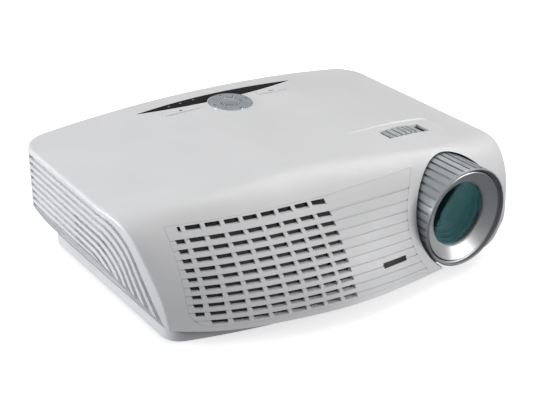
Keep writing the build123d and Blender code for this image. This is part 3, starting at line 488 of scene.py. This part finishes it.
# In millimetres: the gap that parts two jacks, then a collar's reach inside and outside its jack's edge,
# and how far its two faces stand ahead of the jack's rear
JACK_GAP = 3
COLLAR_INSIDE = 0.6
COLLAR_OUTSIDE = 0.5
COLLAR_FRONT = 3.4
COLLAR_REAR = 2.4
COLLAR_STEPS = 48


def jack_collars():
    """Coloured insulating collars round the picture jacks on the rear."""
    jacks = frame["nodes"]["video_jacks"]
    places = sorted({round(v.co.x / MM) for v in jacks.data.vertices})
    groups = [[places[0]]]
    for place in places[1:]:
        if place - groups[-1][-1] > JACK_GAP:
            groups.append([])
        groups[-1].append(place)
    low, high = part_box("video_jacks")
    middle = (low.z + high.z) / 2
    for number, group in enumerate(groups):
        centre = ((group[0] + group[-1]) / 2 * MM, middle)
        half = (group[-1] - group[0]) / 2
        rear = high.y / MM
        lathe(f"jack_collar_{number}", centre, [
            (half - COLLAR_INSIDE, rear - COLLAR_FRONT), (half + COLLAR_OUTSIDE, rear - COLLAR_FRONT),
            (half + COLLAR_OUTSIDE, rear - COLLAR_REAR), (half - COLLAR_INSIDE, rear - COLLAR_REAR),
        ], "plated", "case", material=COLLARS[number % len(COLLARS)], steps=COLLAR_STEPS)


grille_screen()
vent_screens()
lens_interior()
window_brow()
key_marks()
jack_collars()


# ---------------------------------------------------------------- stage

# Camera: where it stands round the object, and how far the object's origin is from the picture's centre
CAMERA_AZIMUTH = math.radians(-35.54)
CAMERA_ELEVATION = math.radians(25.92)
CAMERA_ROLL = math.radians(0.87)
CAMERA_DISTANCE = 856.53 * MM
CAMERA_ASIDE = 5.02 * MM
CAMERA_RAISED = -32.9 * MM
CAMERA_CENTRE_Y = 3.25 * MM
CAMERA_LENS = 71.98


def make_camera():
    """Camera at the photo's viewpoint."""
    a, e, roll = CAMERA_AZIMUTH, CAMERA_ELEVATION, CAMERA_ROLL
    back = Vector((math.sin(a) * math.cos(e), -math.cos(a) * math.cos(e), math.sin(e)))
    right = (-back).cross(Vector((0, 0, 1))).normalized()
    up = right.cross(-back)
    across = math.cos(roll) * right + math.sin(roll) * up
    upright = -math.sin(roll) * right + math.cos(roll) * up
    centre = back * CAMERA_DISTANCE - across * CAMERA_ASIDE - upright * CAMERA_RAISED
    centre.y += CAMERA_CENTRE_Y
    data = bpy.data.cameras.new("camera")
    data.lens = CAMERA_LENS
    data.sensor_width = 36.0
    camera = bpy.data.objects.new("camera", data)
    bpy.context.collection.objects.link(camera)
    turn = Matrix((across, upright, back)).transposed()
    camera.matrix_world = Matrix.Translation(centre) @ turn.to_4x4()
    bpy.context.scene.camera = camera


def area_light(name, place, target, size, power, colour=(1, 1, 1)):
    """Rectangular soft light aimed at a target; places in metres, power in watts."""
    data = bpy.data.lights.new(name, "AREA")
    data.shape = "RECTANGLE"
    data.size, data.size_y = size
    data.energy = power
    data.color = colour
    light = bpy.data.objects.new(name, data)
    bpy.context.collection.objects.link(light)
    light.location = place
    light.rotation_euler = (Vector(target) - Vector(place)).to_track_quat("-Z", "Y").to_euler()


SKY = (1.0, 1.0, 1.0)
SKY_HEIGHT = 0.75
SURROUND_STRENGTH = 0.50
GROUND = (0.22, 0.225, 0.25)


def make_world():
    """Pale surround, brighter overhead than at the horizon."""
    world = bpy.data.worlds.new("studio")
    bpy.context.scene.world = world
    world.use_nodes = True
    tree = world.node_tree
    place = tree.nodes.new("ShaderNodeTexCoord")
    split = tree.nodes.new("ShaderNodeSeparateXYZ")
    ramp = tree.nodes.new("ShaderNodeValToRGB")
    ramp.color_ramp.elements[0].position = 0.0
    ramp.color_ramp.elements[0].color = (*GROUND, 1.0)
    ramp.color_ramp.elements[1].position = SKY_HEIGHT
    ramp.color_ramp.elements[1].color = (*SKY, 1.0)
    tree.links.new(place.outputs["Generated"], split.inputs["Vector"])
    tree.links.new(split.outputs["Z"], ramp.inputs["Fac"])
    tree.links.new(ramp.outputs["Color"], tree.nodes["Background"].inputs["Color"])
    tree.nodes["Background"].inputs["Strength"].default_value = SURROUND_STRENGTH


FLOOR_HALF = 6.0
FLOOR_GLOW = 0.60


def make_stage():
    """Pale floor, surround and three soft lights."""
    bpy.context.scene.view_settings.view_transform = "Standard"
    make_world()
    mesh = bpy.data.meshes.new("floor")
    corners = [(x * FLOOR_HALF, y * FLOOR_HALF, 0) for x, y in ((-1, -1), (1, -1), (1, 1), (-1, 1))]
    mesh.from_pydata(corners, [], [(0, 1, 2, 3)])
    floor = bpy.data.objects.new("floor", mesh)
    bpy.context.collection.objects.link(floor)
    paper = shader(
        "floor", (0.90, 0.90, 0.90), 0.8, Emission_Color=(1, 1, 1, 1), Emission_Strength=FLOOR_GLOW)
    mesh.materials.append(grain(paper, 60, 0.0001, 0.005))
    floor.visible_diffuse = False
    floor.visible_glossy = False
    area_light("key", (1.1, 0.3, 1.4), (0, 0, 0.05), (1.2, 1.2), 12)
    area_light("front_right", (1.2, -1.6, 0.7), (0, 0, 0.05), (1.1, 0.8), 18)
    area_light("left", (-1.7, 0.8, 0.34), (0, 0, 0.04), (0.9, 0.5), 34, (0.96, 0.98, 1.0))


make_camera()
make_stage()
